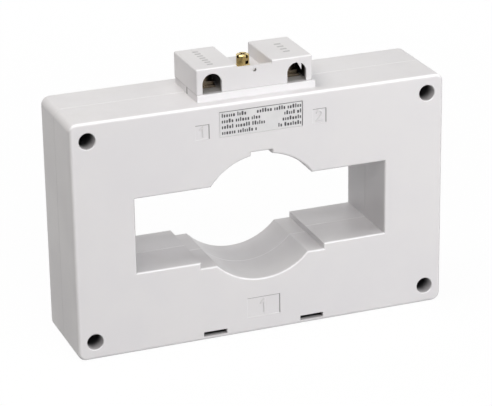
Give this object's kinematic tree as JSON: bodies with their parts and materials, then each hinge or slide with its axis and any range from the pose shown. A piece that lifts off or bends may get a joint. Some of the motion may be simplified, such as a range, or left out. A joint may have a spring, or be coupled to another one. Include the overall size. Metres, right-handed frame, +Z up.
{
  "type": "current transformer",
  "caption": "Window-type current transformer: light grey moulded case with a stepped window for a busbar or cable, and a screw-sealed terminal cover on top.",
  "frame": {"origin": "middle of the bottom face of the case, on the surface that it stands on", "axes": "+Z up, +X along the case's width to the right seen from the front, +Y from the front face to the rear face, so the marked front face looks towards -Y"},
  "size_m": [0.1806, 0.0434, 0.1294],
  "materials": {
    "case_plastic": "satin moulded, very light grey",
    "base_plastic": "moulded, light grey",
    "plate_metal": "matt printed foil plate",
    "brass": "turned, bare",
    "zinc_steel": "zinc plated",
    "plated_brass": "nickel plated",
    "core_steel": "wound strip",
    "box_plastic": "moulded",
    "winding_copper": null,
    "tape": "wrapped film tape",
    "foam": "closed-cell foam",
    "lead_sleeve": "flexible sleeve"
  },
  "bodies": {
    "case": {"front_case": "case_plastic", "rear_case": "case_plastic", "terminal_base": "base_plastic", "rating_plate": "plate_metal", "seal_insert": "brass", "case_screws": "zinc_steel", "core": "core_steel", "core_box": "box_plastic", "core_box_lid": "box_plastic", "secondary_winding": "winding_copper", "winding_tape": "tape", "front_pad": "foam", "rear_pad": "foam", "lead_s1": "lead_sleeve", "lead_s2": "lead_sleeve", "terminal_strip_s1": "plated_brass", "terminal_strip_s2": "plated_brass"},
    "cover": {"terminal_cover": "case_plastic"},
    "seal_screw": {"seal_screw": "brass"},
    "clamp_s1": {"clamp_plate_s1": "plated_brass", "spring_washer_s1": "plated_brass"},
    "screw_s1": {"terminal_screw_s1": "plated_brass"},
    "clamp_s2": {"clamp_plate_s2": "plated_brass", "spring_washer_s2": "plated_brass"},
    "screw_s2": {"terminal_screw_s2": "plated_brass"}
  },
  "joints": [
    {"name": "cover_lift", "type": "slide", "parent": "case", "child": "cover", "axis": [0, 0, 1], "range_m": [0, 0.03]},
    {"name": "seal_screw_turn", "type": "hinge", "parent": "cover", "child": "seal_screw", "pos_m": [-0.0006, -0.0006, 0.12], "axis": [0, 0, 1], "continuous": true},
    {"name": "clamp_s1_rise", "type": "slide", "parent": "case", "child": "clamp_s1", "axis": [0, 0, 1], "range_m": [0, 0.0024]},
    {"name": "screw_s1_turn", "type": "hinge", "parent": "clamp_s1", "child": "screw_s1", "pos_m": [-0.021, -0.0018, 0.12], "axis": [0, 0, 1], "range_deg": [0, 1081]},
    {"name": "clamp_s2_rise", "type": "slide", "parent": "case", "child": "clamp_s2", "axis": [0, 0, 1], "range_m": [0, 0.0024]},
    {"name": "screw_s2_turn", "type": "hinge", "parent": "clamp_s2", "child": "screw_s2", "pos_m": [0.0198, -0.0018, 0.12], "axis": [0, 0, 1], "range_deg": [0, 1081]}
  ],
  "couplings": [
    {"joint": "screw_s1_turn", "follows": "clamp_s1_rise", "rad_per_m": 7854},
    {"joint": "screw_s2_turn", "follows": "clamp_s2_rise", "rad_per_m": 7854}
  ]
}
